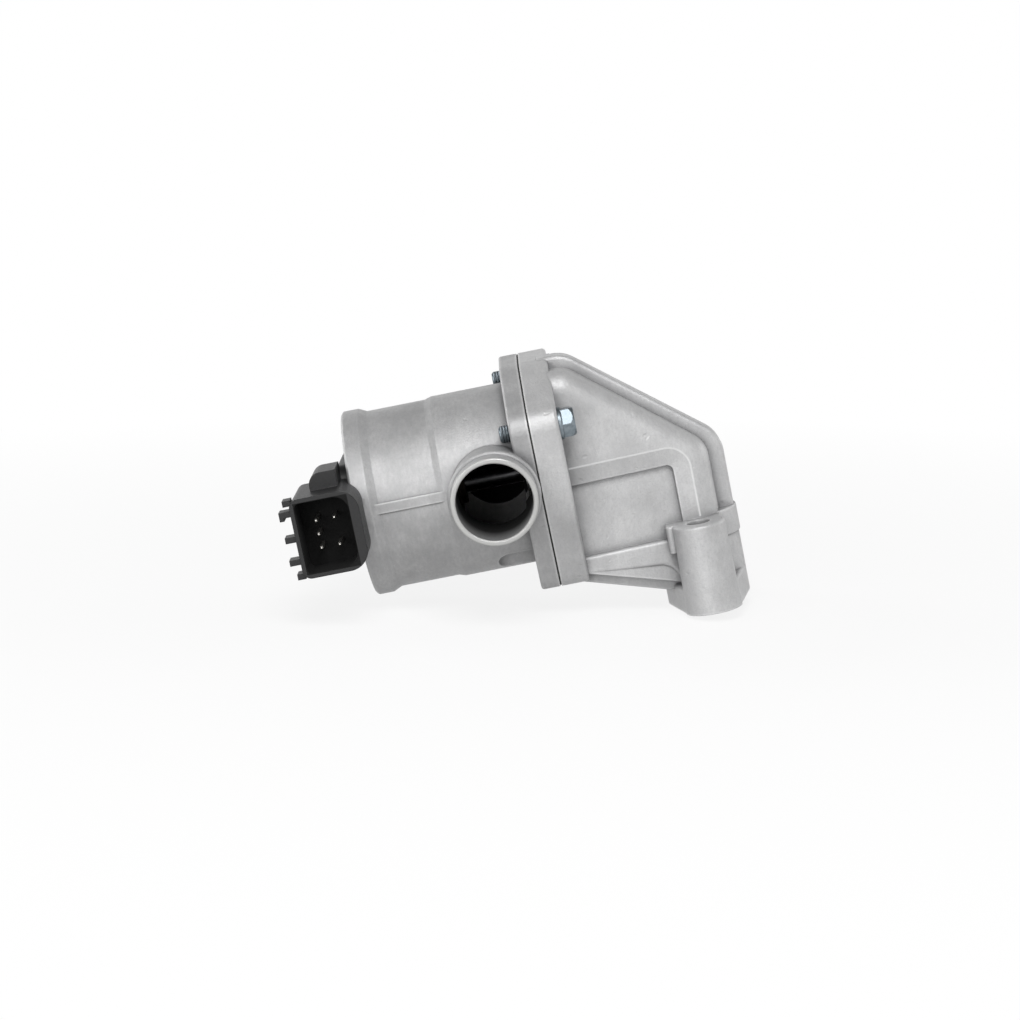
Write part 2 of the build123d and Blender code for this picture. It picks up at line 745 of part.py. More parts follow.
# End cap with the plug socket, one moulding
def rounded_block(left, right, half_z, near_r, far_r, start_y, end_y):
    """Bar along Y, rounder on the side next to the barrel, between limits in X and about PLUG_Z."""
    plane = Plane(origin=((left + right) / 2, end_y, PLUG_Z), x_dir=(1, 0, 0), z_dir=(0, -1, 0))
    shape = Rectangle(right - left, 2 * half_z)
    near = shape.vertices().group_by(Axis.X)[-1]
    shape = fillet(near, near_r)
    far = shape.vertices().group_by(Axis.X)[0]
    return extrude(plane * fillet(far, far_r), amount=end_y - start_y, dir=(0, -1, 0))


def plug_left():
    """X of the socket's outer wall on the side away from the barrel."""
    return x_of(PLUG_STATION) - PLUG_WIDTH / 2


def plug_shell():
    """Outside of the socket."""
    left = plug_left()
    half_z = PLUG_HEIGHT / 2
    return rounded_block(left, left + PLUG_WIDTH, half_z, 5.8, 2.6, PLUG_MOUTH_Y, PLUG_BACK_Y)


def plug_cavity():
    """Inside of the socket, with a thicker wall next to the barrel."""
    left = plug_left() + PLUG_WALL
    right = plug_left() + PLUG_WIDTH - PLUG_BARREL_WALL
    half_z = PLUG_HEIGHT / 2 - PLUG_WALL
    return rounded_block(left, right, half_z, 4.4, 1.6, PLUG_MOUTH_Y - 1, PLUG_FLOOR_Y)


def pin_places():
    """(X, Z) of the terminal pins: two columns of three, with one place left empty."""
    centre_x = x_of(PLUG_STATION) + PIN_CENTRE
    places = []
    for column in (-0.5, 0.5):
        for row in (-1, 0, 1):
            if column < 0 or row != 0:
                places.append((centre_x + column * PIN_PITCH_X, PLUG_Z + row * PIN_PITCH_Z))
    return places


def board_room():
    """Hollow for the sensor board behind the socket's floor, open to -X."""
    front = PLUG_FLOOR_Y + PLUG_FLOOR
    back = PLUG_BACK_Y - ROOM_BACK_WALL
    low = PLUG_Z - ROOM_HALF_Z
    high = PLUG_Z + ROOM_HALF_Z
    return between(plug_left() - 1, x_of(ROOM_END), front, back, low, high)


def side_rails():
    """Rails on the socket's left wall; the second one ends in a hook."""
    rails = []
    left = plug_left()
    front = PLUG_MOUTH_Y + 1.2
    back = front + RAIL_LENGTH
    half = RAIL_THICKNESS / 2
    for height, reach in RAILS:
        z = PLUG_Z + height
        rails.append(between(left - reach, left + 0.6, front, back, z - half, z + half))
    height, reach = RAILS[HOOK_RAIL]
    z = PLUG_Z + height + half
    rails.append(between(left - reach, left - reach + 1.3, front, back, z - HOOK_DROP, z))
    return rails


def make_connector_cap():
    spigot = tube(0, CAP_DEPTH, SOLENOID_BORE_R - CAP_SLACK)
    spigot -= tube(CAP_GROOVE_START, CAP_GROOVE_END, SOLENOID_BORE_R + 1, CAP_GROOVE_R)
    plate = across(-CAP_PLATE, RectangleRounded(2 * CAP_PLATE_HALF_Y, 2 * CAP_PLATE_HALF_Z, 6), CAP_PLATE)
    plate = fillet(plate.edges().group_by(Axis.X)[0], 1.0)
    left = x_of(NECK_START)
    right = x_of(-CAP_PLATE + 1)
    stem = between(left, right, -20, 12, AXIS_HEIGHT - 13, AXIS_HEIGHT + STEM_TOP)
    stem = fillet(stem.edges().filter_by(Axis.Y).group_by(Axis.X)[0], 4.0)
    stem = fillet(stem.edges().group_by(Axis.Y)[-1], 1.2)
    neck = between(left, right, NECK_FRONT_Y, NECK_BACK_Y, AXIS_HEIGHT, AXIS_HEIGHT + NECK_TOP)
    neck = fillet(neck.edges().filter_by(Axis.Y).group_by(Axis.X)[0], 3.5)
    socket = plug_shell() - tube(-0.2, PLUG_WIDTH, BARREL_RIM_R + BARREL_CLEARANCE)
    cap = spigot + plate + stem + neck + socket
    cap -= plug_cavity()
    for rail in side_rails():
        cap += rail
    cap -= board_room()
    half = PIN_SIDE / 2
    for x, z in pin_places():
        start_y = PLUG_FLOOR_Y - 1
        cap -= between(x - half, x + half, start_y, start_y + PLUG_FLOOR + 2, z - half, z + half)
    return cap


# Lid that closes the board room on the side away from the barrel
def make_connector_lid():
    opening = board_room()
    cover = between(
        plug_left(),
        plug_left() + LID_THICKNESS,
        PLUG_FLOOR_Y,
        PLUG_BACK_Y,
        PLUG_Z - PLUG_HEIGHT,
        PLUG_Z + PLUG_HEIGHT,
    )
    return cover & opening


# Terminal pins, alike, through the socket's floor to the board
def make_terminal_pins():
    pins = []
    half = PIN_SIDE / 2
    for x, z in pin_places():
        end_y = PLUG_FLOOR_Y + PLUG_FLOOR + BOARD_THICKNESS + 0.8
        pin = between(x - half, x + half, PIN_TIP_Y, end_y, z - half, z + half)
        pins.append(chamfer(pin.edges().group_by(Axis.Y)[0], 0.25))
    return Compound(children=pins)


# Sensor board and the pressure sensor on it
def make_sensor_board():
    start_y = PLUG_FLOOR_Y + PLUG_FLOOR
    left = plug_left() + LID_THICKNESS + BOARD_SLACK
    right = x_of(ROOM_END) - BOARD_SLACK
    half_z = ROOM_HALF_Z - BOARD_SLACK
    board = between(left, right, start_y, start_y + BOARD_THICKNESS, PLUG_Z - half_z, PLUG_Z + half_z)
    half = PIN_SIDE / 2
    for x, z in pin_places():
        board -= between(x - half, x + half, start_y - 1, start_y + 3, z - half, z + half)
    return board


def make_pressure_sensor():
    start_y = PLUG_FLOOR_Y + PLUG_FLOOR + BOARD_THICKNESS
    centre = x_of(PLUG_STATION) + PIN_CENTRE
    can = between(centre - 1.9, centre + 1.9, start_y, start_y + 2.6, PLUG_Z - 3.0, PLUG_Z + 3.0)
    port = rod((centre, start_y + 2.6, PLUG_Z), (0, 1, 0), 1.4, 1.4)
    return can + port


# Sealing ring of the end cap
def make_cap_seal():
    ring = tube(CAP_GROOVE_START, CAP_GROOVE_END, SOLENOID_BORE_R, CAP_GROOVE_R)
    return fillet(circles_beyond(ring, SOLENOID_BORE_R - 0.1), 0.5)


# Reed valve: plate, rubber frame, leaves, stoppers and their screws
def reed_screw_places():
    """(Y, Z about the body axis) of the four reed screws."""
    return [(a * REED_PORT_Y, b * REED_SCREW_Z) for a in (-1, 1) for b in (-1, 1)]


def make_reed_plate():
    width = 2 * (REED_CAVITY_HALF_Y - REED_SLACK)
    height = 2 * (REED_CAVITY_HALF_Z - REED_SLACK)
    shape = RectangleRounded(width, height, REED_CORNER_R - REED_SLACK)
    for y in (-REED_PORT_Y, REED_PORT_Y):
        for z in (-REED_PORT_Z, REED_PORT_Z):
            shape -= Pos(y, z) * RectangleRounded(REED_PORT_WIDTH, REED_PORT_HEIGHT, 2.0)
    for y, z in reed_screw_places():
        shape -= Pos(y, z) * Circle(REED_SCREW_R + REED_SCREW_CLEARANCE)
    return across(REED_PLATE_START, shape, REED_PLATE_THICKNESS)


def make_reed_seal():
    width = 2 * (REED_CAVITY_HALF_Y - REED_SLACK)
    height = 2 * (REED_CAVITY_HALF_Z - REED_SLACK)
    shape = RectangleRounded(width, height, REED_CORNER_R - REED_SLACK)
    shape -= RectangleRounded(2 * REED_SEAL_HALF_Y, 2 * REED_SEAL_HALF_Z, 2.0)
    return across(REED_LEDGE - REED_SEAL_THICKNESS, shape, REED_SEAL_THICKNESS)


def make_reed_leaves():
    leaves = []
    for side in (-1, 1):
        shape = Pos(0, side * LEAF_CENTRE_Z) * RectangleRounded(LEAF_WIDTH, LEAF_LENGTH, 1.5)
        shape -= Pos(0, side * 11.6) * Rectangle(LEAF_SLOT, 11.0)
        for y, z in reed_screw_places():
            shape -= Pos(y, z) * Circle(REED_SCREW_R + REED_SCREW_CLEARANCE)
        leaves.append(across(REED_LEDGE - REED_SEAL_THICKNESS, shape, LEAF_THICKNESS))
    return Compound(children=leaves)


def make_reed_stoppers():
    stoppers = []
    start = x_of(REED_LEDGE - REED_SEAL_THICKNESS + LEAF_THICKNESS)
    for side in (-1, 1):
        near = AXIS_HEIGHT + side * STOPPER_ROOT_Z
        bend = AXIS_HEIGHT + side * STOPPER_BEND_Z
        far = AXIS_HEIGHT + side * STOPPER_TIP_Z
        top = start + STOPPER_LIFT
        line = [(start, near), (start, bend), (top, far), (top + 0.9, far - side * 0.4)]
        back = start + STOPPER_THICKNESS
        line += [(back, bend - side * 0.3), (back, near)]
        outline = make_face(Polyline(*[(x, 0, z) for x, z in line], close=True))
        bar = extrude(outline, amount=STOPPER_HALF_WIDTH, both=True)
        for y, z in reed_screw_places():
            hole = (start - 1, y, AXIS_HEIGHT + z)
            bar -= rod(hole, (1, 0, 0), REED_SCREW_R + REED_SCREW_CLEARANCE, STOPPER_THICKNESS + 3)
        stoppers.append(bar)
    return Compound(children=stoppers)


def make_reed_screws():
    screws = []
    seat = REED_LEDGE - REED_SEAL_THICKNESS + LEAF_THICKNESS + STOPPER_THICKNESS
    for y, z in reed_screw_places():
        start = (x_of(REED_PLATE_START), y, AXIS_HEIGHT + z)
        shank = rod(start, (1, 0, 0), REED_SCREW_R, seat - REED_PLATE_START)
        head = rod((x_of(seat), y, AXIS_HEIGHT + z), (1, 0, 0), REED_HEAD_R, REED_HEAD_LENGTH)
        head = fillet(head.edges().group_by(Axis.X)[-1], 0.5)
        screws.append(shank + head)
    return Compound(children=screws)


def export_all(pieces):
    os.makedirs("parts", exist_ok=True)
    for name, shape in pieces.items():
        export_step(shape, f"parts/{name}.step")


export_all(
    {
        "valve_body": make_valve_body(),
        "flange_gasket": make_flange_gasket(),
        "flange_screws": make_flange_screws(),
        "outlet_cover": make_outlet_cover(),
        "valve_seat": make_valve_seat(),
        "valve_shaft": make_valve_shaft(),
        "poppet_disc": make_poppet_disc(),
        "poppet_seal": make_poppet_seal(),
        "poppet_clip": make_poppet_clip(),
        "guide_bush": make_guide_bush(),
        "shaft_seal": make_shaft_seal(),
        "solenoid_yoke": make_solenoid_yoke(),
        "yoke_washer": make_yoke_washer(),
        "coil_bobbin": make_coil_bobbin(),
        "coil_winding": make_coil_winding(),
        "fixed_core": make_fixed_core(),
        "plunger": make_plunger(),
        "plunger_bumper": make_plunger_bumper(),
        "return_spring": make_return_spring(),
        "connector_cap": make_connector_cap(),
        "connector_lid": make_connector_lid(),
        "terminal_pins": make_terminal_pins(),
        "sensor_board": make_sensor_board(),
        "pressure_sensor": make_pressure_sensor(),
        "cap_seal": make_cap_seal(),
        "reed_plate": make_reed_plate(),
        "reed_seal": make_reed_seal(),
        "reed_leaves": make_reed_leaves(),
        "reed_stoppers": make_reed_stoppers(),
        "reed_screws": make_reed_screws(),
    }
)
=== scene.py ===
import math

import bpy
from mathutils import Matrix, Vector


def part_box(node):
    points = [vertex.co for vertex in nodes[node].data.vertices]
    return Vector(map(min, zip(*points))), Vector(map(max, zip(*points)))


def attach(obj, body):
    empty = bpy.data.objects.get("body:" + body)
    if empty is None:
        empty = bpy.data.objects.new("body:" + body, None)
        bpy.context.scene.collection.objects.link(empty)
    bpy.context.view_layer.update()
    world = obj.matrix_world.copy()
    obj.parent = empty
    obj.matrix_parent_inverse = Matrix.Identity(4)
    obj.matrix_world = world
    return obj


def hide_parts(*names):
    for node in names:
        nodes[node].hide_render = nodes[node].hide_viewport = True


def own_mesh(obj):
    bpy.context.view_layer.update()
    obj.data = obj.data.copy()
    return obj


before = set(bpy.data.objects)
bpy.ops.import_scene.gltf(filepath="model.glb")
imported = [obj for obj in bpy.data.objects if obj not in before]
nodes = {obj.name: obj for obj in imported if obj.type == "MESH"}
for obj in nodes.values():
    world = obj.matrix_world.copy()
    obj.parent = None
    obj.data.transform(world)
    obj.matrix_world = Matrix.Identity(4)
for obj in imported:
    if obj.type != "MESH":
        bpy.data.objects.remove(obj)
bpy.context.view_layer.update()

# Valve body: one aluminium casting with the barrel, the hose pipe and a flange.
# Its skin is left as it leaves the mould and is tumbled, so it is satin and finely grained,
# with a few pits. The lip of the hose pipe is turned bright. Its cored bore is dull, and it is
# painted darker with depth toward near black as painted shade.


def shader_of(material):
    """The Principled shader of a material."""
    return material.node_tree.nodes["Principled BSDF"]


def new_material(name, colour, metallic, roughness):
    """A material with one Principled shader, and the shader itself."""
    material = bpy.data.materials.new(name)
    material.use_nodes = True
    shader = shader_of(material)
    shader.inputs["Base Color"].default_value = (*colour, 1)
    shader.inputs["Metallic"].default_value = metallic
    shader.inputs["Roughness"].default_value = roughness
    return material, shader


def add_node(material, kind, **inputs):
    """A shader node of a kind in a material or the world, with values for its inputs by name."""
    node = material.node_tree.nodes.new(kind)
    for name, value in inputs.items():
        node.inputs[name].default_value = value
    return node


def join(material, source, target):
    material.node_tree.links.new(source, target)


def frame_place(material):
    """The place on the part, in metres of the part's own frame."""
    return add_node(material, "ShaderNodeTexCoord").outputs["Object"]


def mapped_place(material, scale, offset=(0, 0, 0)):
    """The place on the part, scaled along the frame's axes and then moved."""
    node = add_node(material, "ShaderNodeMapping", Location=offset, Scale=scale)
    join(material, frame_place(material), node.inputs["Vector"])
    return node.outputs["Vector"]


def noise(material, cells, detail=4.0, rough=0.5, stretch=None):
    """Noise with a number of cells to the metre, drawn out along the frame's axes if asked."""
    place = mapped_place(material, stretch) if stretch else frame_place(material)
    node = add_node(material, "ShaderNodeTexNoise", Scale=cells, Detail=detail, Roughness=rough)
    join(material, place, node.inputs["Vector"])
    return node.outputs["Fac"]


def ramp(material, source, stops):
    """Colours along a value, from (value, colour) stops."""
    node = add_node(material, "ShaderNodeValToRGB")
    marks = node.color_ramp.elements
    while len(marks) < len(stops):
        marks.new(0.5)
    for mark, (position, colour) in zip(marks, stops):
        mark.position = position
        mark.color = (*colour, 1)
    join(material, source, node.inputs["Fac"])
    return node.outputs["Color"]


def levels(material, source, low, high, out_low, out_high):
    """A value moved from one range to another, and held inside it."""
    node = add_node(material, "ShaderNodeMapRange")
    names = ("From Min", "From Max", "To Min", "To Max")
    for name, value in zip(names, (low, high, out_low, out_high)):
        node.inputs[name].default_value = value
    join(material, source, node.inputs["Value"])
    return node.outputs["Result"]


def bump(material, shader, height, depth, before=None):
    """Relief of a depth in metres, laid over an earlier normal if there is one."""
    node = add_node(material, "ShaderNodeBump", Distance=depth, Strength=1.0)
    join(material, height, node.inputs["Height"])
    if before:
        join(material, before, node.inputs["Normal"])
    join(material, node.outputs["Normal"], shader.inputs["Normal"])
    return node.outputs["Normal"]


def soft_edges(material, shader, radius):
    """Edges that catch the light as if they were rounded by a radius in metres."""
    node = add_node(material, "ShaderNodeBevel", Radius=radius)
    node.samples = 4
    join(material, node.outputs["Normal"], shader.inputs["Normal"])
    return node.outputs["Normal"]


def along(material, axis):
    """The place along one axis of the frame, in metres."""
    split = add_node(material, "ShaderNodeSeparateXYZ")
    join(material, frame_place(material), split.inputs["Vector"])
    return split.outputs[axis]


def blend(material, share, first, second):
    """Mix of two linked colours or values by a share from 0 to 1."""
    node = add_node(material, "ShaderNodeMix")
    node.data_type = "RGBA"
    join(material, share, node.inputs[0])
    join(material, first, node.inputs[6])
    join(material, second, node.inputs[7])
    return node.outputs[2]


def product(material, first, second):
    """Two linked values multiplied."""
    node = add_node(material, "ShaderNodeMath")
    node.operation = "MULTIPLY"
    join(material, first, node.inputs[0])
    join(material, second, node.inputs[1])
    return node.outputs[0]


def dress(material, *names):
    """Gives CAD nodes their finish, on every material slot that they have."""
    for name in names:
        mesh = nodes[name].data
        if not mesh.materials:
            mesh.materials.append(material)
        for index in range(len(mesh.materials)):
            mesh.materials[index] = material


def toward(material, share, tone, colour):
    """A linked tone moved toward one colour by a share from 0 to 1."""
    node = add_node(material, "ShaderNodeMix")
    node.data_type = "RGBA"
    node.inputs[7].default_value = (*colour, 1)
    join(material, share, node.inputs[0])
    join(material, tone, node.inputs[6])
    return node.outputs[2]


def openness(material, reach, inside):
    """How free the surface is of the piece's own metal within a reach in metres, from 0 to 1."""
    node = add_node(material, "ShaderNodeAmbientOcclusion", Distance=reach)
    node.inside = inside
    node.samples = 4
    node.only_local = True
    return node.outputs["AO"]


EDGE_REACH = 0.0007
CORNER_REACH = 0.0025
RECESS_REACH = 0.012
# The next two colours are painted light: a painted highlight for outer edges and painted shade for
# recesses and corners.
PAINTED_HIGHLIGHT = (0.84, 0.84, 0.84)
PAINTED_SHADE = (0.16, 0.16, 0.165)
SPECK_GREY = (0.30, 0.30, 0.305)
STAIN_DIMMING = 0.72


def painted_edge_light_and_shade(material, tone):
    """A tone with a painted highlight on outer edges and painted shade in recesses and corners, placed by
    ambient occlusion.
    """
    edge = levels(material, openness(material, EDGE_REACH, True), 0.55, 0.97, 0.9, 0.0)
    recess = levels(material, openness(material, RECESS_REACH, False), 0.3, 0.9, 0.6, 0.0)
    corner = levels(material, openness(material, CORNER_REACH, False), 0.4, 0.95, 0.6, 0.0)
    tone = toward(material, edge, tone, PAINTED_HIGHLIGHT)
    tone = toward(material, recess, tone, PAINTED_SHADE)
    return toward(material, corner, tone, PAINTED_SHADE)


def cast_tone(material, dark, light):
    """Cloudy grey of a casting, with faint flow lines round the body axis, stains and specks, then a
    painted highlight on outer edges and painted shade in recesses and corners.
    """
    cloud = noise(material, 130, 5, 0.6)
    flow = noise(material, 1100, 4, 0.6, stretch=(1.0, 0.45, 0.45))
    tone = ramp(material, product(material, cloud, flow), [(0.12, dark), (0.42, light)])
    stain = levels(material, noise(material, 55, 6, 0.65), 0.46, 0.66, 0.0, 0.45)
    tone = toward(material, stain, tone, [STAIN_DIMMING * value for value in dark])
    speck = levels(material, noise(material, 2000, 4, 0.65), 0.50, 0.72, 0.0, 0.25)
    # Last come a painted highlight on outer edges and painted shade in recesses and corners.
    return painted_edge_light_and_shade(material, toward(material, speck, tone, SPECK_GREY))


CAST_EDGE_R = 0.0005
GRAIN_DEPTH = 0.00012
PIT_DEPTH = 0.00012


def cast_skin(material, shader, cast_share=None):
    """Edges rounded by tumbling, fine grain and a few pits where the skin is cast; gives its gloss."""
    grain = noise(material, 1500, 4, 0.65)
    gloss = levels(material, grain, 0.3, 0.7, 0.40, 0.54)
    pits = levels(material, noise(material, 420, 2, 0.4), 0.20, 0.30, 0.0, 1.0)
    if cast_share:
        grain = product(material, grain, cast_share)
        pits = product(material, pits, cast_share)
    rounded = soft_edges(material, shader, CAST_EDGE_R)
    fine = bump(material, shader, grain, GRAIN_DEPTH, rounded)
    bump(material, shader, pits, PIT_DEPTH, fine)
    return gloss


def vector_step(material, operation, source, second=(0, 0, 0)):
    """Results of a vector operation on a linked vector and a fixed one."""
    node = add_node(material, "ShaderNodeVectorMath")
    node.operation = operation
    node.inputs[1].default_value = second
    join(material, source, node.inputs[0])
    return node.outputs


def from_pipe_axis(material, x, z):
    """Distance from a line along Y, in metres."""
    place = mapped_place(material, (1, 0, 1), (-x, 0, -z))
    return vector_step(material, "LENGTH", place)["Value"]


PIPE_X = -0.0562
PIPE_Z = 0.048
PIPE_BORE_R = 0.0110
PIPE_LIP = -0.0487
BORE_DARKENING = 0.0146
BORE_BACK = 0.0230
BORE_BACK_FADE = 0.0005
BORE_SHADE_BLACK = (0.004, 0.004, 0.004)
MASK_FADE = 0.0001
CAST_METALLIC = 0.4
CAST_ROUGHNESS = 0.45
BODY_DARK = (0.45, 0.45, 0.455)
BODY_LIGHT = (0.57, 0.57, 0.57)
LIP_DARK = (0.48, 0.48, 0.47)
LIP_LIGHT = (0.55, 0.55, 0.54)
body_finish, body_shader = new_material("cast_body", BODY_LIGHT, CAST_METALLIC, CAST_ROUGHNESS)
body_y = along(body_finish, "Y")
turned_lip = levels(body_finish, body_y, PIPE_LIP - MASK_FADE, PIPE_LIP + MASK_FADE, 1.0, 0.0)
cast_part = levels(body_finish, body_y, PIPE_LIP - MASK_FADE, PIPE_LIP + MASK_FADE, 0.0, 1.0)
pipe_r = from_pipe_axis(body_finish, PIPE_X, PIPE_Z)
in_bore = levels(body_finish, pipe_r, PIPE_BORE_R + MASK_FADE, PIPE_BORE_R + 3 * MASK_FADE, 1.0, 0.0)
in_front = levels(body_finish, body_y, BORE_BACK - BORE_BACK_FADE, BORE_BACK + BORE_BACK_FADE, 1.0, 0.0)
# Painted shade: the bore is coloured darker with depth toward near black. It is also made rough and not
# metallic there.
bore_depth = levels(body_finish, body_y, PIPE_LIP, PIPE_LIP + BORE_DARKENING, 0.4, 0.995)
bore_shade = product(body_finish, product(body_finish, in_bore, in_front), bore_depth)
body_tone = cast_tone(body_finish, BODY_DARK, BODY_LIGHT)
body_tone = toward(body_finish, bore_shade, body_tone, BORE_SHADE_BLACK)
lip_grain = noise(body_finish, 4000, 2, 0.5)
lip_tone = ramp(body_finish, lip_grain, [(0.3, LIP_DARK), (0.7, LIP_LIGHT)])
join(body_finish, blend(body_finish, turned_lip, body_tone, lip_tone), body_shader.inputs["Base Color"])
body_gloss = cast_skin(body_finish, body_shader, cast_part)
body_gloss = toward(body_finish, bore_shade, body_gloss, (1, 1, 1))
lip_gloss = levels(body_finish, lip_grain, 0.3, 0.7, 0.28, 0.34)
join(body_finish, blend(body_finish, turned_lip, body_gloss, lip_gloss), body_shader.inputs["Roughness"])
bore_metal = levels(body_finish, bore_shade, 0.0, 1.0, CAST_METALLIC, 0.0)
join(body_finish, bore_metal, body_shader.inputs["Metallic"])
dress(body_finish, "valve_body")

# Guide bush and shaft seal: the bush is sintered bronze, pressed into the wall between the solenoid
# and the air chamber, and coloured nearly black as painted shade. The lip seal in its end is black fluoro
# rubber.


def mottled(name, dark, light, metallic, smooth, rough, cells, depth=0.0):
    """A finish whose colour and gloss wander between limits, with relief of a depth in metres."""
    material, shader = new_material(name, light, metallic, rough)
    cloud = noise(material, cells)
    join(material, ramp(material, cloud, [(0.3, dark), (0.7, light)]), shader.inputs["Base Color"])
    join(material, levels(material, cloud, 0.3, 0.7, smooth, rough), shader.inputs["Roughness"])
    if depth:
        bump(material, shader, cloud, depth)
    return material


FINE_RELIEF = 0.00004
# Painted shade: the bronze colours are darkened nearly to black, because the bush sits deep in the dark
# chamber.
bronze = mottled(
    "sintered_bronze", (0.018, 0.014, 0.010), (0.034, 0.026, 0.019), 0.6, 0.55, 0.75, 3500, FINE_RELIEF
)
dress(bronze, "guide_bush")
rubber = mottled(
    "black_rubber", (0.012, 0.012, 0.012), (0.030, 0.029, 0.028), 0.0, 0.55, 0.80, 2500, FINE_RELIEF
)
dress(rubber, "shaft_seal")

# Valve seat: a turned aluminium ring, pressed into the body and finished in one cut,
# so it carries fine turning marks.


def bands(material, axis, pitch):
    """A wave along one axis of the frame that repeats at a pitch in metres."""
    node = add_node(material, "ShaderNodeTexWave", Scale=2 * math.pi / 20 / pitch, Distortion=0.0)
    node.bands_direction = axis
    join(material, frame_place(material), node.inputs["Vector"])
    return node.outputs["Fac"]


TOOL_MARK = 0.00001


def turned_metal(name, dark, light, smooth, rough, pitch):
    """Bright metal off the lathe, with marks round its axis."""
    material = mottled(name, dark, light, 1.0, smooth, rough, 700)
    bump(material, shader_of(material), bands(material, "X", pitch), TOOL_MARK)
    return material


seat_metal = turned_metal("turned_aluminium", (0.52, 0.52, 0.51), (0.64, 0.64, 0.63), 0.22, 0.34, 0.00025)
dress(seat_metal, "valve_seat")

# Moving valve: a ground stainless shaft with a pressed steel plate, a rubber face bonded to it
# and a black spring clip. It slides 5 mm along the body axis.
# Painted shade: the shaft's steel is coloured far darker than ground stainless, because it is seen deep
# in the dark bore.
shaft_metal = turned_metal("ground_steel", (0.08, 0.08, 0.084), (0.12, 0.12, 0.124), 0.26, 0.38, 0.00012)
dress(shaft_metal, "valve_shaft")
plate_metal = turned_metal("pressed_steel", (0.30, 0.30, 0.30), (0.42, 0.42, 0.41), 0.30, 0.45, 0.00040)
dress(plate_metal, "poppet_disc")
dress(rubber, "poppet_seal")
black_steel = mottled(
    "black_spring_steel", (0.030, 0.030, 0.032), (0.060, 0.060, 0.062), 0.8, 0.35, 0.55, 1800
)
dress(black_steel, "poppet_clip")

# Solenoid: a drawn steel yoke with a washer that closes it, a nylon bobbin with enamelled
# copper wire, and a nickel-plated core and plunger. The plunger rests on a rubber bumper.
yoke_metal = mottled(
    "plated_steel", (0.40, 0.41, 0.42), (0.54, 0.55, 0.56), 1.0, 0.28, 0.45, 500
)
dress(yoke_metal, "solenoid_yoke", "yoke_washer")
bobbin_nylon = mottled(
    "bobbin_nylon", (0.055, 0.052, 0.045), (0.080, 0.076, 0.066), 0.0, 0.40, 0.55, 1200
)
dress(bobbin_nylon, "coil_bobbin")
WIRE = 0.0005
copper = mottled(
    "enamelled_copper", (0.38, 0.13, 0.045), (0.52, 0.20, 0.08), 0.9, 0.22, 0.34, 900
)
bump(copper, shader_of(copper), bands(copper, "X", WIRE), WIRE / 3)
dress(copper, "coil_winding")
core_metal = turned_metal("nickel_plate", (0.46, 0.45, 0.42), (0.58, 0.57, 0.53), 0.20, 0.32, 0.00020)
dress(core_metal, "fixed_core", "plunger")
dress(rubber, "plunger_bumper")

# Return spring: five turns of spring steel wire round the shaft, with its ends closed flat.
# It stands in the core's pocket and is pressed together as the plunger pulls in.
SPRING_R = 0.0052
SPRING_WIRE_R = 0.00045
SPRING_TURNS = 5
CLOSED_TURNS = 0.75
STEPS_A_TURN = 40
WIRE_SIDES = 10
spring_low, spring_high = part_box("return_spring")
spring_axis = (spring_low + spring_high) / 2
spring_start = spring_low.x + SPRING_WIRE_R
spring_end = spring_high.x - SPRING_WIRE_R


def rise(turn):
    """Share of the spring's length reached at a turn: slow in the closed end turns."""
    closing = 2 * SPRING_WIRE_R / (spring_end - spring_start) * CLOSED_TURNS
    if turn < CLOSED_TURNS:
        return closing * turn / CLOSED_TURNS
    if turn > SPRING_TURNS - CLOSED_TURNS:
        return 1 - closing * (SPRING_TURNS - turn) / CLOSED_TURNS
    return closing + (1 - 2 * closing) * (turn - CLOSED_TURNS) / (SPRING_TURNS - 2 * CLOSED_TURNS)


def tube_along(name, middle, radius, sides):
    """A round wire mesh with closed ends through a line of points."""
    points = []
    faces = []
    count = len(middle)
    for index, place in enumerate(middle):
        ahead = middle[min(index + 1, count - 1)] - middle[max(index - 1, 0)]
        across = ahead.cross(Vector((1, 0, 0))).normalized()
        over = across.cross(ahead).normalized()
        for side in range(sides):
            turn = 2 * math.pi * side / sides
            points.append(place + across * radius * math.cos(turn) + over * radius * math.sin(turn))
            if index:
                here = index * sides + side
                beside = index * sides + (side + 1) % sides
                faces.append((here - sides, beside - sides, beside, here))
    faces.append(tuple(range(sides)))
    faces.append(tuple(reversed(range((count - 1) * sides, count * sides))))
    mesh = bpy.data.meshes.new(name)
    mesh.from_pydata(points, [], faces)
    mesh.polygons.foreach_set("use_smooth", [True] * len(mesh.polygons))
    wire = bpy.data.objects.new(name, mesh)
    bpy.context.scene.collection.objects.link(wire)
    return wire


spring_line = []
for step in range(SPRING_TURNS * STEPS_A_TURN + 1):
    spring_turn = step / STEPS_A_TURN
    angle = 2 * math.pi * spring_turn
    spring_x = spring_start + (spring_end - spring_start) * rise(spring_turn)
    spring_y = spring_axis.y + SPRING_R * math.cos(angle)
    spring_z = spring_axis.z + SPRING_R * math.sin(angle)
    spring_line.append(Vector((spring_x, spring_y, spring_z)))
spring = tube_along("spring_wire", spring_line, SPRING_WIRE_R, WIRE_SIDES)
spring_steel = mottled(
    "spring_steel", (0.34, 0.34, 0.35), (0.48, 0.48, 0.49), 1.0, 0.25, 0.40, 1500
)
spring.data.materials.append(spring_steel)
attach(spring, "housing")
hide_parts("return_spring")
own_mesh(spring)

# Reed valve: a cast plate with two thin stainless leaves under bent stoppers, each held by two
# screws. A moulded rubber frame seals the plate against the outlet cover.


def brushed_metal(name, dark, light):
    """Rolled strip, brushed along Z."""
    material, shader = new_material(name, light, 1.0, 0.3)
    strokes = noise(material, 4000, 3, 0.6, stretch=(1, 1, 0.03))
    join(material, ramp(material, strokes, [(0.3, dark), (0.7, light)]), shader.inputs["Base Color"])
    join(material, levels(material, strokes, 0.3, 0.7, 0.22, 0.38), shader.inputs["Roughness"])
    bump(material, shader, strokes, TOOL_MARK)
    return material


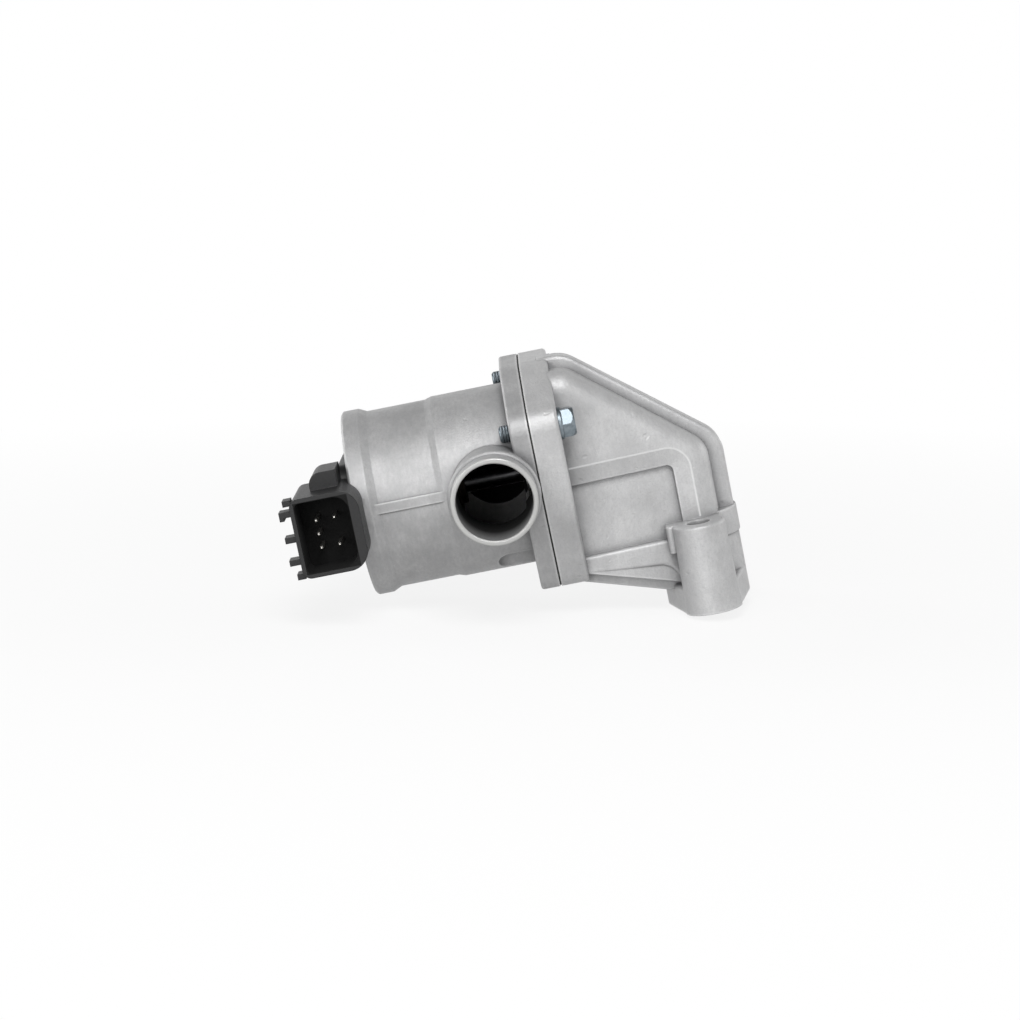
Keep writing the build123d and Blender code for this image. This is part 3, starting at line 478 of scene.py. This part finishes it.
REED_DARK = (0.38, 0.38, 0.37)
REED_LIGHT = (0.48, 0.48, 0.47)
reed_cast, reed_shader = new_material("cast_reed_plate", REED_LIGHT, CAST_METALLIC, CAST_ROUGHNESS)
join(reed_cast, cast_tone(reed_cast, REED_DARK, REED_LIGHT), reed_shader.inputs["Base Color"])
join(reed_cast, cast_skin(reed_cast, reed_shader), reed_shader.inputs["Roughness"])
dress(reed_cast, "reed_plate")
dress(rubber, "reed_seal")
leaf_metal = brushed_metal("reed_strip", (0.38, 0.38, 0.38), (0.52, 0.52, 0.51))
dress(leaf_metal, "reed_leaves", "reed_stoppers")
dress(yoke_metal, "reed_screws")

# Gasket: a sheet of dark fibre-filled rubber, half a millimetre thick and punched to the outline
# of the flanges. Their screws pass through it and nip it, so only its edge shows.
FIBRE_RELIEF = 0.00005
gasket_sheet = mottled(
    "gasket_sheet", (0.020, 0.020, 0.021), (0.050, 0.049, 0.047), 0.0, 0.65, 0.85, 3000, FIBRE_RELIEF
)
dress(gasket_sheet, "flange_gasket")

# Outlet cover: the second aluminium casting, with the same skin as the body and a little lighter.
# It carries the sloping hood, the outlet foot and two bosses for the fixing bolts.


def inside_box(material, low, high):
    """1 between two corners of the frame, and 0 outside."""
    middle = (Vector(low) + Vector(high)) / 2
    half = (Vector(high) - Vector(low)) / 2
    scale = [1 / size for size in half]
    place = mapped_place(material, scale, [-a * b for a, b in zip(middle, scale)])
    split = add_node(material, "ShaderNodeSeparateXYZ")
    join(material, vector_step(material, "ABSOLUTE", place)["Vector"], split.inputs["Vector"])
    within = None
    for axis in "XYZ":
        inner = levels(material, split.outputs[axis], 1.0, 1.01, 1.0, 0.0)
        within = product(material, within, inner) if within else inner
    return within


def off_outline(material, x, z, corner_r):
    """Distance from an outline with one round corner, centred at x and z, in metres."""
    place = mapped_place(material, (1, 0, 1), (-x, 0, -z))
    outer = vector_step(material, "MAXIMUM", place)["Vector"]
    past = add_node(material, "ShaderNodeMath")
    past.operation = "SUBTRACT"
    past.inputs[1].default_value = corner_r
    join(material, vector_step(material, "LENGTH", outer)["Value"], past.inputs[0])
    size = add_node(material, "ShaderNodeMath")
    size.operation = "ABSOLUTE"
    join(material, past.outputs[0], size.inputs[0])
    return size.outputs[0]


BAND_CORNER_X = -0.0058
BAND_CORNER_Z = 0.0417
BAND_CORNER_R = 0.0070
BAND_LOW = (-0.0341, -0.0220, 0.0268)
BAND_HIGH = (0.0030, 0.0220, 0.0500)
BAND_LINE_IN = 0.0001
BAND_LINE_OUT = 0.0004
COVER_DARK = (0.57, 0.57, 0.575)
COVER_LIGHT = (0.67, 0.67, 0.67)
cover_finish, cover_shader = new_material("cast_cover", COVER_LIGHT, CAST_METALLIC, CAST_ROUGHNESS)
cover_tone = cast_tone(cover_finish, COVER_DARK, COVER_LIGHT)
# Painted highlight: a thin bright line along the outer edge of the sloping band round the pocket in the
# hood.
band_edge = off_outline(cover_finish, BAND_CORNER_X, BAND_CORNER_Z, BAND_CORNER_R)
band_highlight = levels(cover_finish, band_edge, BAND_LINE_IN, BAND_LINE_OUT, 0.75, 0.0)
band_highlight = product(cover_finish, band_highlight, inside_box(cover_finish, BAND_LOW, BAND_HIGH))
cover_tone = toward(cover_finish, band_highlight, cover_tone, PAINTED_HIGHLIGHT)
join(cover_finish, cover_tone, cover_shader.inputs["Base Color"])
join(cover_finish, cast_skin(cover_finish, cover_shader), cover_shader.inputs["Roughness"])
dress(cover_finish, "outlet_cover")

# Flange screws: M5 steel hexagon screws, bright zinc plated with a bluish cast.
# They pass the cover and are cut into the body's flange, where their threaded ends stand out.
THREAD_PITCH = 0.0008
THREAD_END = -0.0490
SCREW_EDGE_R = 0.0003
zinc = mottled("bright_zinc", (0.16, 0.19, 0.21), (0.27, 0.31, 0.34), 1.0, 0.30, 0.42, 900)
screw_x = along(zinc, "X")
thread_mask = levels(zinc, screw_x, THREAD_END - MASK_FADE, THREAD_END + MASK_FADE, 1.0, 0.0)
thread = product(zinc, thread_mask, bands(zinc, "X", THREAD_PITCH))
zinc_edges = soft_edges(zinc, shader_of(zinc), SCREW_EDGE_R)
bump(zinc, shader_of(zinc), thread, THREAD_PITCH / 2, zinc_edges)
dress(zinc, "flange_screws")

# Sensor board and pressure sensor: a small glass-epoxy board with green lacquer, and a
# plated steel can soldered to it. They stand behind the floor of the plug socket.
board_lacquer = mottled(
    "green_lacquer", (0.010, 0.070, 0.030), (0.018, 0.105, 0.045), 0.0, 0.30, 0.42, 1400
)
dress(board_lacquer, "sensor_board")
dress(yoke_metal, "pressure_sensor")

# End cap: the plug socket, its neck and the round spigot in one moulding of black glass-filled
# nylon, pressed into the barrel on a rubber ring. A lid of the same nylon closes its side.
SOCKET_LOW = (-0.1127, -0.0440, 0.0369)
SOCKET_HIGH = (-0.0971, -0.0294, 0.0577)
NYLON_DARK = (0.009, 0.009, 0.0095)
NYLON_LIGHT = (0.018, 0.018, 0.0185)
SOCKET_SHADE_BLACK = (0.002, 0.002, 0.002)
CAP_EDGE_R = 0.0004
FLECK_DEPTH = 0.00003
nylon, nylon_shader = new_material("black_nylon", NYLON_LIGHT, 0.0, 0.45)
nylon_shader.inputs["Specular IOR Level"].default_value = 0.4
fleck = noise(nylon, 1800, 4, 0.6)
nylon_tone = ramp(nylon, fleck, [(0.3, NYLON_DARK), (0.75, NYLON_LIGHT)])
# Painted shade: inside the plug socket the nylon is coloured near black, and it is also made rougher.
in_socket = inside_box(nylon, SOCKET_LOW, SOCKET_HIGH)
nylon_tone = toward(nylon, in_socket, nylon_tone, SOCKET_SHADE_BLACK)
join(nylon, nylon_tone, nylon_shader.inputs["Base Color"])
nylon_gloss = levels(nylon, fleck, 0.3, 0.7, 0.36, 0.52)
socket_gloss = levels(nylon, fleck, 0.3, 0.7, 0.85, 0.95)
join(nylon, blend(nylon, in_socket, nylon_gloss, socket_gloss), nylon_shader.inputs["Roughness"])
nylon_edges = soft_edges(nylon, nylon_shader, CAP_EDGE_R)
bump(nylon, nylon_shader, fleck, FLECK_DEPTH, nylon_edges)
dress(nylon, "connector_cap", "connector_lid")
dress(rubber, "cap_seal")

# Terminal pins: five lengths of square brass wire, tin plated so that they stay bright.
# They are pushed through the floor of the socket, two for the coil and three for the sensor.
pin_tin = mottled(
    "tinned_brass", (0.60, 0.58, 0.54), (0.74, 0.72, 0.68), 1.0, 0.22, 0.38, 4000
)
dress(pin_tin, "terminal_pins")

# Camera: the valve lies on the barrel's rim and the outlet foot, so level ground leans in its
# own frame. The camera looks a little down on it, square to the body axis.
TILT = math.radians(11.3)
ELEVATION = math.radians(9.3)
DISTANCE = 0.780
PIXEL = 0.00030
PICTURE = 1020
SENSOR = 36.0
TARGET = Vector((-0.0539, 0.0, 0.0372))
level_right = Vector((math.cos(TILT), 0, -math.sin(TILT)))
level_up = Vector((math.sin(TILT), 0, math.cos(TILT)))
level_back = Vector((0, 1, 0))
camera_back = level_up * math.sin(ELEVATION) - level_back * math.cos(ELEVATION)
camera_turn = Matrix((level_right, camera_back.cross(level_right), camera_back)).transposed()
camera = bpy.data.objects.new("camera", bpy.data.cameras.new("camera"))
camera.matrix_world = Matrix.Translation(TARGET + camera_back * DISTANCE) @ camera_turn.to_4x4()
camera.data.sensor_width = SENSOR
camera.data.lens = DISTANCE / PIXEL / PICTURE * SENSOR
camera.data.clip_start = 0.01
camera.data.clip_end = 50.0
bpy.context.scene.collection.objects.link(camera)
bpy.context.scene.camera = camera

# Floor: a sheet of white card on a table, on which the valve lies and throws a soft shadow.
# It grows plain white with the distance from the valve, so that no edge of it shows.
FLOOR_HALF = 4.0
FLOOR_WHITE = 0.84
FLOOR_NEAR = 0.12
FLOOR_FAR = 0.45
CARD_DARK = (0.10, 0.10, 0.10)
CARD_LIGHT = (0.13, 0.13, 0.13)
CARD_WHITE = (0.95, 0.95, 0.95)
ground = min(vertex.co.dot(level_up) for node in nodes.values() for vertex in node.data.vertices)
floor_points = []
for right, back in ((-1, -1), (1, -1), (1, 1), (-1, 1)):
    floor_points.append(level_up * ground + (level_right * right + level_back * back) * FLOOR_HALF)
floor_mesh = bpy.data.meshes.new("floor")
floor_mesh.from_pydata(floor_points, [], [(0, 1, 2, 3)])
floor = bpy.data.objects.new("floor", floor_mesh)
bpy.context.scene.collection.objects.link(floor)


def seen_directly(material):
    """1 for rays that come from the camera, straight or by way of metal or glass, and else 0."""
    rays = add_node(material, "ShaderNodeLightPath")
    seen = rays.outputs["Is Camera Ray"]
    for name in ("Is Glossy Ray", "Is Transmission Ray"):
        either = add_node(material, "ShaderNodeMath")
        either.operation = "MAXIMUM"
        join(material, seen, either.inputs[0])
        join(material, rays.outputs[name], either.inputs[1])
        seen = either.outputs[0]
    return seen


def mix_shaders(material, share, first, second, output):
    """Two shaders mixed by a share from 0 to 1, as the surface of a material or the world."""
    node = add_node(material, "ShaderNodeMixShader")
    join(material, share, node.inputs[0])
    join(material, first.outputs[0], node.inputs[1])
    join(material, second.outputs[0], node.inputs[2])
    join(material, node.outputs[0], material.node_tree.nodes[output].inputs["Surface"])


card, card_shader = new_material("white_card", CARD_LIGHT, 0.0, 0.95)
card_cloud = noise(card, 30)
card_tone = ramp(card, card_cloud, [(0.3, CARD_DARK), (0.7, CARD_LIGHT)])
card_seen = seen_directly(card)
join(card, toward(card, card_seen, card_tone, CARD_WHITE), card_shader.inputs["Base Color"])
join(card, levels(card, card_cloud, 0.3, 0.7, 0.85, 0.95), card_shader.inputs["Roughness"])
card_far = vector_step(card, "DISTANCE", frame_place(card), TARGET)["Value"]
card_white = levels(card, card_far, FLOOR_NEAR, FLOOR_FAR, FLOOR_WHITE, 1.0)
card_glow = add_node(card, "ShaderNodeEmission", Color=(1, 1, 1, 1), Strength=1.0)
mix_shaders(card, product(card, card_seen, card_white), card_shader, card_glow, "Material Output")
floor_mesh.materials.append(card)

# Room: white walls all round that give a weak even light, with a dimmer ceiling for the metal
# to mirror, so that faces that look up stay a little darker than those in front.
ROOM_LIGHT = 0.25
CEILING_START = 0.30
CEILING_FULL = 0.65
CEILING_DIM = 0.2
world = bpy.data.worlds.new("studio")
bpy.context.scene.world = world
world.use_nodes = True
room_light = world.node_tree.nodes["Background"]
room_light.inputs["Color"].default_value = (1, 1, 1, 1)
room_light.inputs["Strength"].default_value = ROOM_LIGHT
room_seen = add_node(world, "ShaderNodeBackground", Color=(1, 1, 1, 1), Strength=1.0)
direction = add_node(world, "ShaderNodeTexCoord").outputs["Generated"]
overhead = vector_step(world, "DOT_PRODUCT", direction, level_up)["Value"]
ceiling = levels(world, overhead, CEILING_START, CEILING_FULL, 1.0, CEILING_DIM)
join(world, ceiling, room_seen.inputs["Strength"])
mix_shaders(world, seen_directly(world), room_light, room_seen, "World Output")

# Lamps: square soft boxes, the key light high in front of the valve and a weaker one low in
# front, and one on either side behind it for the views from there.
LAMP_SIDE = 0.5


def soft_box(name, right, back, up, power):
    """A square area lamp that faces the valve, placed from the camera's target in metres."""
    light = bpy.data.lights.new(name, "AREA")
    light.size = LAMP_SIDE
    light.energy = power
    place = TARGET + level_right * right + level_back * back + level_up * up
    aim = (TARGET - place).to_track_quat("-Z", "Y")
    lamp = bpy.data.objects.new(name, light)
    lamp.matrix_world = Matrix.Translation(place) @ aim.to_matrix().to_4x4()
    bpy.context.scene.collection.objects.link(lamp)


soft_box("key_light", right=0.02, back=-0.69, up=0.77, power=6.2)
soft_box("front_light", right=-0.35, back=-0.95, up=0.06, power=3.6)
soft_box("left_light", right=-0.95, back=0.45, up=0.35, power=3.0)
soft_box("right_light", right=0.95, back=0.35, up=0.40, power=1.2)

bpy.context.scene.view_settings.view_transform = "Standard"
